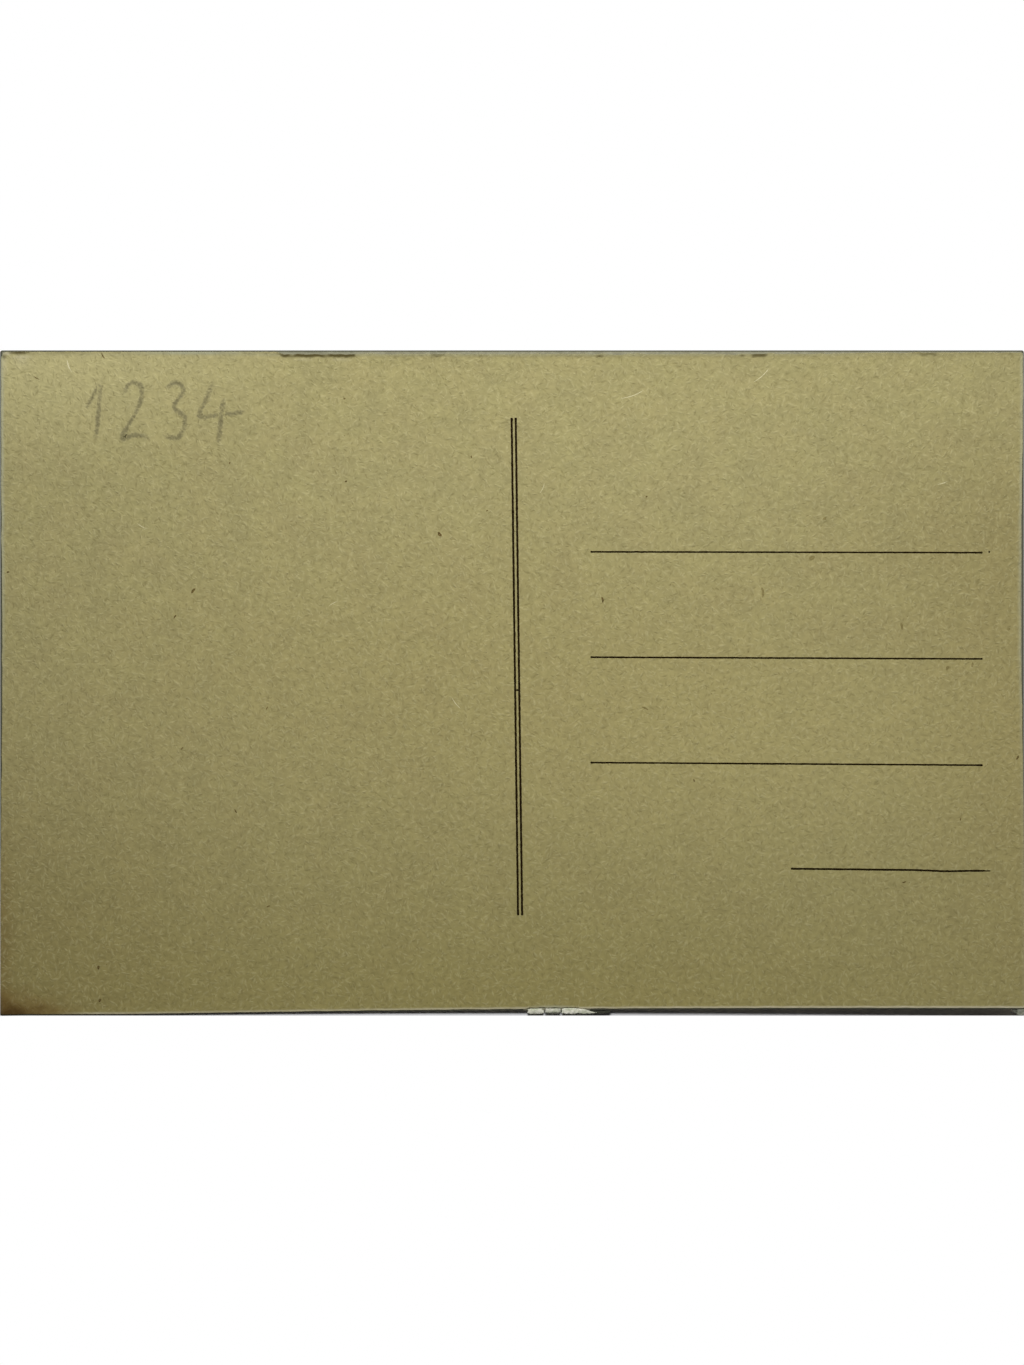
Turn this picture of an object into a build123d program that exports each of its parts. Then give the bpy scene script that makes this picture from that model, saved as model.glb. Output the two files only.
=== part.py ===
from build123d import *
from math import cos, degrees, hypot, radians, sin
import os

os.makedirs("parts", exist_ok=True)

# A picture postcard lying on its picture side. X runs along the long side, Y towards the
# top edge and Z up out of the address side. The origin is under the middle of the card.
card_length = 140.0
card_height = 91.0  # at the left end
trim_rise = 1.0  # the lower edge was cut askew and climbs this far to the right
trim_bow = 0.3  # and it bows in by this much at its middle
corner_round = 0.3
worn_corner_round = 1.0  # address paper rubbed off the upper left corner

# Layers of the pasteboard, from the table up
picture_ink_thickness = 0.01
picture_coat_thickness = 0.02
picture_ply_thickness = 0.08
paste_thickness = 0.015
core_thickness = 0.14
address_ply_thickness = 0.10
picture_border = 5.0

# The lower right corner curls up: the board is flat as far as a slanting line, and bends
# past it in a run of tangent arcs that tighten towards the corner.
curl_reach = 58.0  # from the end of the flat to the lower right corner
curl_slant = 25.6  # degrees between that line and the long side
curl_start_radius = 1400.0
curl_end_radius = 950.0
curl_steps = 12

# Printed rules, pressed into the address paper
impression_depth = 0.03
rule_ink_thickness = 0.02
divider_width = 0.33
divider_spacing = 0.56
divider_offset = 0.67  # right of the middle of the card
divider_head_margin = 9.2
divider_foot_margin = 13.75
divider_lean = 0.72  # degrees, foot to the right
rule_width = 0.3
rule_inset = 10.05  # from the divider to the long rules
rule_margin = 5.65  # from the long rules to the right edge
long_rule_count = 3
first_rule_drop = 27.6  # below the top edge
town_rule_width = 0.35
town_rule_rise = 20.0  # above the lower edge at the left end
town_rule_length = 27.3
town_rule_margin = 4.6
rule_tilt = 0.06  # degrees, right end down
rule_tilt_step = 0.13  # each rule tilts this much more than the one above

# Chips along the top edge, where the address paper has split away
chip_depth = 0.4
long_chip_length = 10.6
long_chip_place = -26.8
small_chip_depth = 0.3
small_chip_length = 2.8
small_chip_places = (-10.3, 7.2, 33.3)

# Flake of the middle board, pulled out past the lower edge
flake_start = 1.9
flake_length = 11.1
flake_depth = 0.8
flake_root = 2.0  # how far the flake's outline runs back into the board

# Heights of the layer boundaries
coat_bottom = picture_ink_thickness
picture_ply_bottom = coat_bottom + picture_coat_thickness
picture_paste_bottom = picture_ply_bottom + picture_ply_thickness
core_bottom = picture_paste_bottom + paste_thickness
address_paste_bottom = core_bottom + core_thickness
address_ply_bottom = address_paste_bottom + paste_thickness
address_face = address_ply_bottom + address_ply_thickness
rule_bottom = address_face - impression_depth
rule_top = rule_bottom + rule_ink_thickness

# Corners of the trimmed card, and the middle of its lower edge
left_edge, right_edge = -card_length / 2, card_length / 2
top_edge, lower_edge = card_height / 2, -card_height / 2
upper_left, upper_right = (left_edge, top_edge), (right_edge, top_edge)
lower_left, lower_right = (left_edge, lower_edge), (right_edge, lower_edge + trim_rise)
lower_middle = (0, lower_edge + trim_rise / 2 + trim_bow)

# The curl's own plane: its X points from the end of the flat to the lower right corner, its Y up
cut_margin = 2.0
card_diagonal = hypot(card_length, card_height)
curl_heading = Vector(sin(radians(curl_slant)), -cos(radians(curl_slant)), 0)
flat_end = Vector(*lower_right, 0) - curl_heading * curl_reach
curl_plane = Plane(flat_end, x_dir=curl_heading, z_dir=curl_heading.cross(Vector(0, 0, 1)))

# Radius and sweep of each arc of the curl, on the face that lies on the table
curl_arc_length = (curl_reach + cut_margin) / curl_steps
radius_change = (curl_end_radius - curl_start_radius) / (curl_steps - 1)
curl_radii = [curl_start_radius + step * radius_change for step in range(curl_steps)]
curl_sweeps = [degrees(curl_arc_length / radius) for radius in curl_radii]
curl_height = (curl_reach + cut_margin) * sin(radians(sum(curl_sweeps)))

# Outlines are drawn on a level plane under the card and cut straight up through it
plan_plane = Plane.XY.offset(-cut_margin)
plan_depth = 2 * cut_margin + address_face + curl_height


# One face of a layer, at its height above the table: the flat, then the arcs of the curl
def curled_line(height):
    run = Line((-card_diagonal, height), (0, height))
    start = run @ 0
    for radius, sweep in zip(curl_radii, curl_sweeps):
        run = JernArc(run @ 1, run % 1, radius - height, sweep)
    return start, run @ 1


# One layer of the curled sheet, wider than the card on every side
def curled_sheet(bottom, top):
    with BuildPart() as sheet:
        with BuildSketch(curl_plane):
            with BuildLine():
                under_start, under_end = curled_line(bottom)
                over_start, over_end = curled_line(top)
                Line(under_start, over_start)
                Line(under_end, over_end)
            make_face()
        extrude(amount=card_diagonal, both=True)
    return sheet.part


# One piece of the card: a layer of the sheet, cut to an outline
def cut_layer(bottom, top, outline):
    with BuildPart() as layer:
        add(curled_sheet(bottom, top))
        with BuildSketch(plan_plane):
            add(outline)
        extrude(amount=plan_depth, mode=Mode.INTERSECT)
    return layer.part


# Outline of a printed rule, with the round ends that squeezed ink has
def rule_outline(middle, length, width, angle):
    with BuildSketch() as outline:
        with Locations(middle):
            SlotOverall(length, width, rotation=angle)
    return outline.sketch


def save(piece, name):
    piece.label = name
    export_step(piece, f"parts/{name}.step")


# Outline of the card as it was trimmed, with sharp corners
with BuildSketch() as trimmed_outline:
    with BuildLine():
        Polyline(lower_right, upper_right, upper_left, lower_left)
        ThreePointArc(lower_left, lower_middle, lower_right)
    make_face()

# Outline of the card, its corners a little rounded by use
with BuildSketch() as card_outline:
    add(trimmed_outline.sketch)
    fillet(card_outline.vertices(), corner_round)

# Outline of the address paper, with one worn corner and the chips in its top edge
from_upper_left = Axis((0, 0, 0), (1, -1, 0))
with BuildSketch() as address_outline:
    add(trimmed_outline.sketch)
    fillet(address_outline.vertices().sort_by(from_upper_left)[1:], corner_round)
    fillet(address_outline.vertices().sort_by(from_upper_left)[0], worn_corner_round)
    with Locations((long_chip_place, top_edge)):
        SlotOverall(long_chip_length, 2 * chip_depth, mode=Mode.SUBTRACT)
    with Locations(*[(place, top_edge) for place in small_chip_places]):
        SlotOverall(small_chip_length, 2 * small_chip_depth, mode=Mode.SUBTRACT)


# The lower edge of the card at a place along it
def lower_edge_at(x):
    share = (x - left_edge) / card_length
    return lower_edge + trim_rise * share + 4 * trim_bow * share * (1 - share)


# Outline of the middle board: the card with a slanting flake at its lower edge
flake_end = flake_start + flake_length
flake_tip = lower_edge_at(flake_end) - flake_depth
flake_middle = flake_start + flake_length / 2
with BuildSketch() as core_outline:
    add(card_outline.sketch)
    with BuildLine():
        side = Line(
            (flake_start, lower_edge_at(flake_start) + flake_root),
            (flake_start, lower_edge_at(flake_start) - flake_depth / 2),
        )
        tear = ThreePointArc(
            side @ 1,
            (flake_middle, lower_edge_at(flake_middle) - flake_depth),
            (flake_end, flake_tip),
        )
        Polyline(tear @ 1, (flake_middle, lower_edge_at(flake_middle) + flake_root), side @ 0)
    make_face()

# The picture is printed square inside its border
with BuildSketch() as picture_outline:
    with Locations((0, trim_rise / 2)):
        Rectangle(card_length - 2 * picture_border, card_height - trim_rise - 2 * picture_border)

# Outlines of the rules on the address side, by name
rules = {}
divider_length = card_height - divider_head_margin - divider_foot_margin
divider_middle = top_edge - divider_head_margin - divider_length / 2
for name, side_step in (("divider_rule_left", -0.5), ("divider_rule_right", 0.5)):
    middle = (divider_offset + side_step * divider_spacing, divider_middle)
    rules[name] = rule_outline(middle, divider_length, divider_width, 90 + divider_lean)

long_rule_start = divider_offset + rule_inset
long_rule_end = right_edge - rule_margin
rule_pitch = (card_height - first_rule_drop - town_rule_rise) / long_rule_count
for row in range(long_rule_count):
    middle = ((long_rule_start + long_rule_end) / 2, top_edge - first_rule_drop - row * rule_pitch)
    angle = -rule_tilt - row * rule_tilt_step
    rules[f"address_rule_{row + 1}"] = rule_outline(middle, long_rule_end - long_rule_start, rule_width, angle)

town_middle = (right_edge - town_rule_margin - town_rule_length / 2, lower_edge + town_rule_rise)
town_angle = -rule_tilt - long_rule_count * rule_tilt_step
rules["town_rule"] = rule_outline(town_middle, town_rule_length, town_rule_width, town_angle)

# Picture side: the ink, the clay coat and the paper
save(cut_layer(0, coat_bottom, picture_outline.sketch), "picture_ink")
save(cut_layer(coat_bottom, picture_ply_bottom, card_outline.sketch), "picture_coat")
save(cut_layer(picture_ply_bottom, picture_paste_bottom, card_outline.sketch), "picture_ply")

# The middle board between its two paste films
save(cut_layer(picture_paste_bottom, core_bottom, card_outline.sketch), "picture_paste")
save(cut_layer(core_bottom, address_paste_bottom, core_outline.sketch), "core_ply")
save(cut_layer(address_paste_bottom, address_ply_bottom, address_outline.sketch), "address_paste")

# Address side: the paper with the groove that each rule was pressed into it, and the ink there
with BuildPart() as address_ply:
    add(cut_layer(address_ply_bottom, address_face, address_outline.sketch))
    for outline in rules.values():
        add(cut_layer(rule_bottom, address_face + impression_depth, outline), mode=Mode.SUBTRACT)
save(address_ply.part, "address_ply")
for name, outline in rules.items():
    save(cut_layer(rule_bottom, rule_top, outline), name)
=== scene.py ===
import math
import random

import bpy
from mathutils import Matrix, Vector, geometry, noise


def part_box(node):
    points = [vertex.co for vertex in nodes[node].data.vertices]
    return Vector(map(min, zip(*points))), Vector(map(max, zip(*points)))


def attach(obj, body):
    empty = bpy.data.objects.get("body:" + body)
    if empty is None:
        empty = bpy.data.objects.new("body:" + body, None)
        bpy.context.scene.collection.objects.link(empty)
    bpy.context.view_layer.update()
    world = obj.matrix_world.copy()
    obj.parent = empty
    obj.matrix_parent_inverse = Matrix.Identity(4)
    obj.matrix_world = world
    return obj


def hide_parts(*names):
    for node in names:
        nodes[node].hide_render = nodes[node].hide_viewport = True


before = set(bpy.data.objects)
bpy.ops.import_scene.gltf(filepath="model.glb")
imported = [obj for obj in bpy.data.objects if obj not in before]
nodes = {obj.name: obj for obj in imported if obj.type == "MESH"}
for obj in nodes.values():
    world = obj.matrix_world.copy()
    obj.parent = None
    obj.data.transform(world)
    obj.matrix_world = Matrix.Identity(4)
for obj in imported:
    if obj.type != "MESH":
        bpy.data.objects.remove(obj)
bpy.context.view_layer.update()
mm = 0.001
print("frame loaded,", len(nodes), "nodes")


# The card as the frame holds it

plyLow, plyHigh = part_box("picture_ply")

card = dict(
    left=plyLow.x,
    right=plyHigh.x,
    top=plyHigh.y,
    low=-plyHigh.y,  # at the left end, before its corner rounds off
    trimRise=1.0 * mm,  # the lower edge climbs this far to the right
    trimBow=0.3 * mm,  # and bows in by this much at its middle
    paperThickness=0.10 * mm,
    pasteThickness=0.015 * mm,
    cornerRound=0.3 * mm,
    wornRound=1.0 * mm,  # address paper at the upper left
)
cardLength = card["right"] - card["left"]
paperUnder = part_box("address_ply")[0].z
paperFace = paperUnder + card["paperThickness"]
coreFace = paperUnder - card["pasteThickness"]

# the lower right corner lifts in a run of arcs that tighten towards it
curl = dict(
    reach=58 * mm,
    spare=2 * mm,
    slant=math.radians(25.6),
    startRadius=1400 * mm,
    endRadius=950 * mm,
    steps=12,
)
curlHeading = Vector((math.sin(curl["slant"]), -math.cos(curl["slant"])))
curlStart = Vector((card["right"], card["low"] + card["trimRise"])) - curlHeading * curl["reach"]


def curlLift(x, y):
    run = (Vector((x, y)) - curlStart).dot(curlHeading)
    stepLength = (curl["reach"] + curl["spare"]) / curl["steps"]
    lift = 0.0
    slope = 0.0
    for step in range(curl["steps"]):
        share = step / (curl["steps"] - 1)
        radius = curl["startRadius"] + share * (curl["endRadius"] - curl["startRadius"])
        part = min(max(run - step * stepLength, 0.0), stepLength)
        lift += slope * part + part * part / (2 * radius)
        slope += part / radius
    return lift


def trimLine(x):
    share = (x - card["left"]) / cardLength
    return card["low"] + card["trimRise"] * share + 4 * card["trimBow"] * share * (1 - share)


# wandering value from -1 to 1, for torn and worn edges
def wander(x, y, size, seed):
    return noise.fractal(Vector((x / size, y / size, seed)), 1.0, 2.0, 3)


def smoothStep(value):
    value = min(max(value, 0.0), 1.0)
    return value * value * (3 - 2 * value)


# Modelling helpers

# a grid whose points are laid by place(column, row), drawn up to a closed sheet
def growSheet(name, columns, rows, place, thickness):
    bpy.ops.object.select_all(action="DESELECT")
    bpy.ops.mesh.primitive_grid_add(x_subdivisions=columns - 1, y_subdivisions=rows - 1, size=1)
    piece = bpy.context.object
    piece.name = name
    piece.data.name = name
    for vertex in piece.data.vertices:
        column = round((vertex.co.x + 0.5) * (columns - 1))
        row = round((vertex.co.y + 0.5) * (rows - 1))
        vertex.co = place(column, row)
    bpy.ops.object.mode_set(mode="EDIT")
    bpy.ops.mesh.select_all(action="SELECT")
    bpy.ops.mesh.extrude_region_move(TRANSFORM_OT_translate={"value": (0, 0, thickness)})
    bpy.ops.mesh.select_all(action="SELECT")
    bpy.ops.mesh.normals_make_consistent(inside=False)
    bpy.ops.object.mode_set(mode="OBJECT")
    return piece


def selectOnly(pieces):
    bpy.ops.object.select_all(action="DESELECT")
    for piece in pieces:
        piece.select_set(True)
    bpy.context.view_layer.objects.active = pieces[0]


def joinPieces(name, pieces):
    selectOnly(pieces)
    if len(pieces) > 1:
        bpy.ops.object.join()
    joined = bpy.context.object
    joined.name = name
    joined.data.name = name
    return joined


def setValues(piece, name, values):
    attribute = piece.data.attributes.new(name, "FLOAT", "POINT")
    attribute.data.foreach_set("value", values)


def dress(piece, material):
    piece.data.materials.clear()
    piece.data.materials.append(material)


def finishPiece(piece, angle, material):
    selectOnly([piece])
    bpy.ops.object.shade_smooth_by_angle(angle=math.radians(angle))
    dress(piece, material)


# Material helpers

def linear(hexColour):
    channels = [int(hexColour[place:place + 2], 16) / 255 for place in (1, 3, 5)]
    return [c / 12.92 if c <= 0.04045 else ((c + 0.055) / 1.055) ** 2.4 for c in channels] + [1.0]


# adds a node with its settings, a math node's operation after a dot; its inputs come in order or
# by socket, each a value, a hex colour, an output, or a node, which stands for its first output
def addNode(tree, kind, inputs=(), **settings):
    kind, _, operation = kind.partition(".")
    node = tree.nodes.new(kind if kind.startswith("Node") else "ShaderNode" + kind)
    if operation:
        node.operation = operation
    for name, value in settings.items():
        setattr(node, name, value)
    for socket, value in inputs.items() if isinstance(inputs, dict) else enumerate(inputs):
        if isinstance(value, bpy.types.Node):
            value = value.outputs[0]
        if isinstance(value, bpy.types.NodeSocket):
            tree.links.new(value, node.inputs[socket])
        else:
            node.inputs[socket].default_value = linear(value) if isinstance(value, str) else value
    return node


def newGroup(name, inputs, outputs):
    group = bpy.data.node_groups.new(name, "ShaderNodeTree")
    for way, sockets in (("INPUT", inputs), ("OUTPUT", outputs)):
        for socket in sockets:
            group.interface.new_socket(socket, in_out=way, socket_type=sockets[socket])
    return group


def newMaterial(name):
    material = bpy.data.materials.new(name)
    material.use_nodes = True
    material.node_tree.nodes.clear()
    return material, material.node_tree


# a colour Mix node's sockets, which share their names with other kinds
mixShare, mixFirst, mixSecond, mixResult = 0, 6, 7, 2

# what most of a noise pattern's values lie between
noiseSpan = (0.3, 0.7)


# the place on the card in mm
def placeInMm(tree):
    coords = addNode(tree, "TexCoord")
    return addNode(tree, "VectorMath.SCALE", {0: coords.outputs["Object"], "Scale": 1 / mm})


# lays a tone over another, with shares that follow a value over its span; a share that falls
# off does so softly
def layTone(tree, under, value, over, span=(0, 1), shares=(0, 1)):
    curve = "SMOOTHSTEP" if shares[0] > shares[1] else "LINEAR"
    share = addNode(tree, "MapRange", [value, *span, *shares], interpolation_type=curve)
    mix = addNode(tree, "Mix", {mixShare: share, mixFirst: under, mixSecond: over}, data_type="RGBA")
    return mix.outputs[mixResult]


# lightens and darkens a tone with a fine grain
def grainTone(tree, tone, grain, depth):
    level = addNode(tree, "MapRange", [grain, *noiseSpan, 1 - depth, 1 + depth])
    return addNode(tree, "VectorMath.SCALE", {0: tone, "Scale": level})


# how far a place lies from a middle, in shares of a reach across and along
def awayFrom(tree, place, middle, reach, stir=(0, 0, 0)):
    offset = addNode(tree, "VectorMath.SUBTRACT", [place, (*middle, 0)])
    shrunk = addNode(tree, "VectorMath.DIVIDE", [offset, (*reach, 1)])
    stirred = addNode(tree, "VectorMath.ADD", [shrunk, stir])
    level = addNode(tree, "VectorMath.MULTIPLY", [stirred, (1, 1, 0)])
    return addNode(tree, "VectorMath.LENGTH", [level]).outputs["Value"]


# the surface itself: its roughness follows a value, its relief a height
def finishSurface(tree, look, tone, value, height=None):
    roughness = addNode(tree, "MapRange", [value, *look.get("roughSpan", noiseSpan), *look["rough"]])
    surface = addNode(tree, "BsdfPrincipled", {
        "Base Color": tone, "Roughness": roughness, "Specular IOR Level": look["specular"]})
    if height is not None:
        bump = addNode(tree, "Bump", {"Height": height, "Distance": look["depth"], "Strength": 1.0})
        tree.links.new(bump.outputs[0], surface.inputs["Normal"])
    addNode(tree, "OutputMaterial", {"Surface": surface})


# Materials

# one short pulp fibre in each cell of the pattern, at a turn and a strength of its own
pulpFibre = dict(halfLength=0.5, halfWidth=0.16)


def makeFibreGroup():
    tree = newGroup("pulpFibre", {"Vector": "NodeSocketVector"}, {"Mask": "NodeSocketFloat"})
    start = addNode(tree, "NodeGroupInput")
    cells = addNode(tree, "TexVoronoi", {"Vector": start, "Scale": 1.0}, voronoi_dimensions="2D")
    offset = addNode(tree, "VectorMath.SUBTRACT", [start, cells.outputs["Position"]])
    draws = addNode(tree, "SeparateColor", {"Color": cells.outputs["Color"]})
    turn = addNode(tree, "Math.MULTIPLY", [draws.outputs["Red"], 2 * math.pi])
    turned = addNode(tree, "VectorRotate", {"Vector": offset, "Angle": turn}, rotation_type="Z_AXIS")
    slimness = (1 / pulpFibre["halfLength"], 1 / pulpFibre["halfWidth"], 0)
    squeezed = addNode(tree, "VectorMath.MULTIPLY", [turned, slimness])
    reach = addNode(tree, "VectorMath.LENGTH", [squeezed]).outputs["Value"]
    mask = addNode(tree, "MapRange", [reach, 0, 1, 1, 0], interpolation_type="SMOOTHSTEP")
    strength = addNode(tree, "Math.MULTIPLY", [mask, draws.outputs["Green"]])
    addNode(tree, "NodeGroupOutput", {"Mask": strength})
    return tree


fibreGroup = makeFibreGroup()

# Buff wood-pulp paper, machine made and aged: a matt olive buff with short pale and dark
# fibres lying every way, brown bark specks, and a damp stain in the lower left corner
buffPulp = dict(
    tone="#9D9566",
    # what lies over it: tone, span of the pattern that places it, and shares at that span's ends
    cloud=("#978F63", (0.35, 0.65), (0, 1)),
    dye=("#A09266", (0.42, 0.62), (0, 0.15)),
    paleFibre=("#BDB587", (0, 1), (0, 0.40)),
    darkFibre=("#72693F", (0, 1), (0, 0.40)),
    stainHalo=("#6F4F1E", (0.3, 2.0), (0.75, 0)),
    stain=("#3A2810", (0.4, 1.2), (0.72, 0)),
    stainPlace=(-70.5, -46.3),
    stainReach=(7.4, 3.1),
    paleCells=(1.5, 1.2, 1.0, 0.8),  # mm, about a fibre's length
    darkCells=(1.4, 1.1, 0.9),
    paleTurn=0.3,
    darkTurn=1.9,
    layerTurn=0.7,  # from one layer of fibres to the next, in radians
    layerShift=(17.3, 5.9),
    cloudSize=4.5,
    dyeSize=5.0,
    feltSize=0.7,
    feltHeight=2.8,
    grainDepth=0.07,
    handled=(0.5, 1.25),  # relief left along the lower edge, which hands have smoothed, and the top
    bendSize=2.2,
    bendReach=0.35,
    speck="#5E4F27",
    speckShare=0.75,
    speckCell=5.5,
    speckRadius=0.13,
)
# soft patches, partly age toning and partly painted light, paler at the upper left and darker towards the
# bottom and the sides: middle and reach of each in mm, its tone and share
toningAndPaintedLight = (
    ((-72, 48), (56, 24), "#C4BC8A", 0.46),
    ((74, 20), (50, 24), "#877B50", 0.40),
    ((35, -10), (60, 20), "#B0A66F", 0.30),
    ((-74, -40), (52, 46), "#7C6E40", 0.45),
    ((0, -62), (150, 60), "#8F844B", 0.75),
    ((-71, -36), (4, 26), "#6E5426", 0.55),
    ((0, -2), (110, 34), "#9C8E57", 0.30),
    ((78, -14), (36, 56), "#8E7D48", 0.30),
)


# the paper's colour and relief, which ink and pencil let through
def makePaperGroup():
    tree = newGroup("buffPulp", {}, {"Color": "NodeSocketColor", "Height": "NodeSocketFloat"})
    place = placeInMm(tree)
    bend = addNode(tree, "TexNoise", {"Vector": place, "Scale": 1 / buffPulp["bendSize"], "Detail": 1.0})
    centred = addNode(tree, "VectorMath.SUBTRACT", [bend.outputs["Color"], (0.5, 0.5, 0.5)])
    bent = addNode(tree, "VectorMath.SCALE", {0: centred, "Scale": buffPulp["bendReach"]})
    fibrePlace = addNode(tree, "VectorMath.ADD", [place, bent])

    # layers of fibres, each layer turned and shifted from the last
    def layerFibres(cells, firstTurn):
        lying = None
        across, along = buffPulp["layerShift"]
        for layer, cell in enumerate(cells):
            mapping = addNode(tree, "Mapping", {
                "Vector": fibrePlace,
                "Location": (across * (layer + firstTurn), along * layer, 0),
                "Rotation": (0, 0, firstTurn + buffPulp["layerTurn"] * layer),
                "Scale": (1 / cell, 1 / cell, 1)})
            fibres = addNode(tree, "Group", {"Vector": mapping}, node_tree=fibreGroup)
            lying = addNode(tree, "Math.MAXIMUM", [lying, fibres]) if lying else fibres
        return lying

    pale = layerFibres(buffPulp["paleCells"], buffPulp["paleTurn"])
    dark = layerFibres(buffPulp["darkCells"], buffPulp["darkTurn"])

    # thin and thick places of the sheet, an uneven dye, then the age toning and painted light
    clouds = addNode(tree, "TexNoise", {
        "Vector": place, "Scale": 1 / buffPulp["cloudSize"], "Detail": 3.0, "Roughness": 0.6})
    dye = addNode(tree, "TexNoise", {"Vector": place, "Scale": 1 / buffPulp["dyeSize"], "Detail": 2.0})
    tone = layTone(tree, buffPulp["tone"], clouds, *buffPulp["cloud"])
    tone = layTone(tree, tone, dye, *buffPulp["dye"])
    for middle, reach, patchTone, share in toningAndPaintedLight:
        tone = layTone(tree, tone, awayFrom(tree, place, middle, reach), patchTone, (0, 1), (share, 0))

    # the fibres, and the felt of finer ones between them
    tone = layTone(tree, tone, pale, *buffPulp["paleFibre"])
    tone = layTone(tree, tone, dark, *buffPulp["darkFibre"])
    felt = addNode(tree, "TexNoise", {"Vector": fibrePlace, "Scale": 1 / buffPulp["feltSize"], "Detail": 1.0})
    tone = grainTone(tree, tone, felt, buffPulp["grainDepth"])

    # bark specks, each of its own size
    cells = addNode(tree, "TexVoronoi", {
        "Vector": fibrePlace, "Scale": 1 / buffPulp["speckCell"]}, voronoi_dimensions="2D")
    draws = addNode(tree, "SeparateColor", {"Color": cells.outputs["Color"]})
    largest = buffPulp["speckRadius"] / buffPulp["speckCell"]
    radius = addNode(tree, "Math.MULTIPLY", [draws.outputs["Red"], largest])
    tone = layTone(tree, tone, cells, buffPulp["speck"], (0, radius), (buffPulp["speckShare"], 0))

    # the stain spreads from the corner along both edges
    away = awayFrom(tree, place, buffPulp["stainPlace"], buffPulp["stainReach"], centred)
    tone = layTone(tree, tone, away, *buffPulp["stainHalo"])
    tone = layTone(tree, tone, away, *buffPulp["stain"])

    # pale fibres stand up and dark ones lie low
    relief = addNode(tree, "Math.SUBTRACT", [pale, dark])
    rise = addNode(tree, "Math.MULTIPLY_ADD", [felt, buffPulp["feltHeight"], relief])
    y = addNode(tree, "SeparateXYZ", [place]).outputs["Y"]
    worn = addNode(tree, "MapRange", [y, card["low"] / mm, card["top"] / mm, *buffPulp["handled"]])
    height = addNode(tree, "Math.MULTIPLY", [rise, worn])
    addNode(tree, "NodeGroupOutput", {"Color": tone, "Height": height})
    return tree


paperGroup = makePaperGroup()

# the same paper at its cut edges: greyer where it is worn so thin that the board shows through, rubbed pale
# with a painted highlight along the arris, and grey-brown with dirt and painted shade along the top and where
# the top edge has chipped
paperEdge = dict(
    thin="#A6A88F", rubAndHighlight="#C6BFA2", grimeAndShade="#504828",
    rough=(0.96, 0.84), roughSpan=(0, 3), specular=0.12, depth=0.03 * mm)


def makeBuffPaper():
    material, tree = newMaterial("buffPulpPaper")
    pulp = addNode(tree, "Group", node_tree=paperGroup)
    shown = pulp.outputs["Color"]
    for edgeLayer in ("thin", "rubAndHighlight", "grimeAndShade"):
        share = addNode(tree, "Attribute", attribute_name=edgeLayer)
        shown = layTone(tree, shown, share.outputs["Fac"], paperEdge[edgeLayer])
    finishSurface(tree, paperEdge, shown, pulp.outputs["Height"], pulp.outputs["Height"])
    return material


# Black-brown letterpress ink: a thin matt film that skips over the paper's deepest
# hollows, so specks of paper show in it
printInk = dict(
    tone="#181002", worn=("#352A0A", (0.5, 0.8), (0, 0.7)), bare=((0.66, 0.8), (0, 0.4)), skipSize=0.16,
    rough=(0.6, 0.85), specular=0.03, depth=0.012 * mm)


def makePrintInk():
    material, tree = newMaterial("letterpressInk")
    pulp = addNode(tree, "Group", node_tree=paperGroup)
    skips = addNode(tree, "TexNoise", {
        "Vector": placeInMm(tree), "Scale": 1 / printInk["skipSize"], "Detail": 3.0})
    film = layTone(tree, printInk["tone"], skips, *printInk["worn"])
    shown = layTone(tree, film, skips, pulp.outputs["Color"], *printInk["bare"])
    finishSurface(tree, printInk, shown, skips, pulp.outputs["Height"])
    return material


# Soft graphite pencil, rubbed with age: a grey film that catches on the raised fibres and
# thins out to bare paper at the sides of each stroke
graphite = dict(
    tone="#48432B", grainSize=0.3, grainReach=0.22, caught=(0.08, 0.85), strength=0.62,
    rough=(0.9, 0.55), roughSpan=(0, 1), specular=0.25, depth=0.025 * mm)


def makeGraphite():
    material, tree = newMaterial("pencilGraphite")
    pulp = addNode(tree, "Group", node_tree=paperGroup)
    press = addNode(tree, "Attribute", attribute_name="press")
    tooth = addNode(tree, "TexNoise", {
        "Vector": placeInMm(tree), "Scale": 1 / graphite["grainSize"], "Detail": 2.0})
    level = addNode(tree, "MapRange", [tooth, *noiseSpan, -graphite["grainReach"], graphite["grainReach"]])
    caught = addNode(tree, "Math.ADD", [press.outputs["Fac"], level])
    share = addNode(tree, "MapRange", [
        caught, *graphite["caught"], 0, graphite["strength"]], interpolation_type="SMOOTHSTEP")
    shown = layTone(tree, pulp.outputs["Color"], share, graphite["tone"])
    finishSurface(tree, graphite, shown, share, pulp.outputs["Height"])
    return material


# Grey waste-paper board, the middle of the card: a pale felt of fibres, dirty and darkened with painted shade
# at the rim
greyBoard = dict(
    tone="#888770", pale="#9B9A84", dark="#777660", rimDirtAndShade="#4A4A3D",
    fibreCell=0.8, patchSize=1.6, depth=0.03 * mm)
# Torn board, cleaner and whiter than a cut edge, with a grey-green soil and painted shade in its folds and
# lower parts
tornBoard = dict(
    tone="#EFECDB", pale="#FBF8EE", dark="#C4C9AC", soilAndShade="#393A30",
    fibreCell=0.5, patchSize=0.7, depth=0.04 * mm)
# Dried starch paste full of fibres from the board, seen only where the paper has worn back, with dirt and
# painted shade at its rim
starchPaste = dict(
    tone="#8D8B73", pale="#9C9981", dark="#7F7C65", rimDirtAndShade="#4A4A3D",
    fibreCell=0.7, patchSize=1.2, depth=0.01 * mm)
# White rag paper of the picture side, yellowed, seen only at the edges
yellowedRag = dict(
    tone="#CDBF9C", pale="#DDD2B4", dark="#B1A27C", fibreCell=0.7, patchSize=2.0, depth=0.01 * mm)
# Bark and wood slivers in the pulp
barkSliver = dict(
    tone="#6B5B31", pale="#85764A", dark="#4B3D1D", fibreCell=0.4, patchSize=0.3, depth=0.01 * mm)
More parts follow.
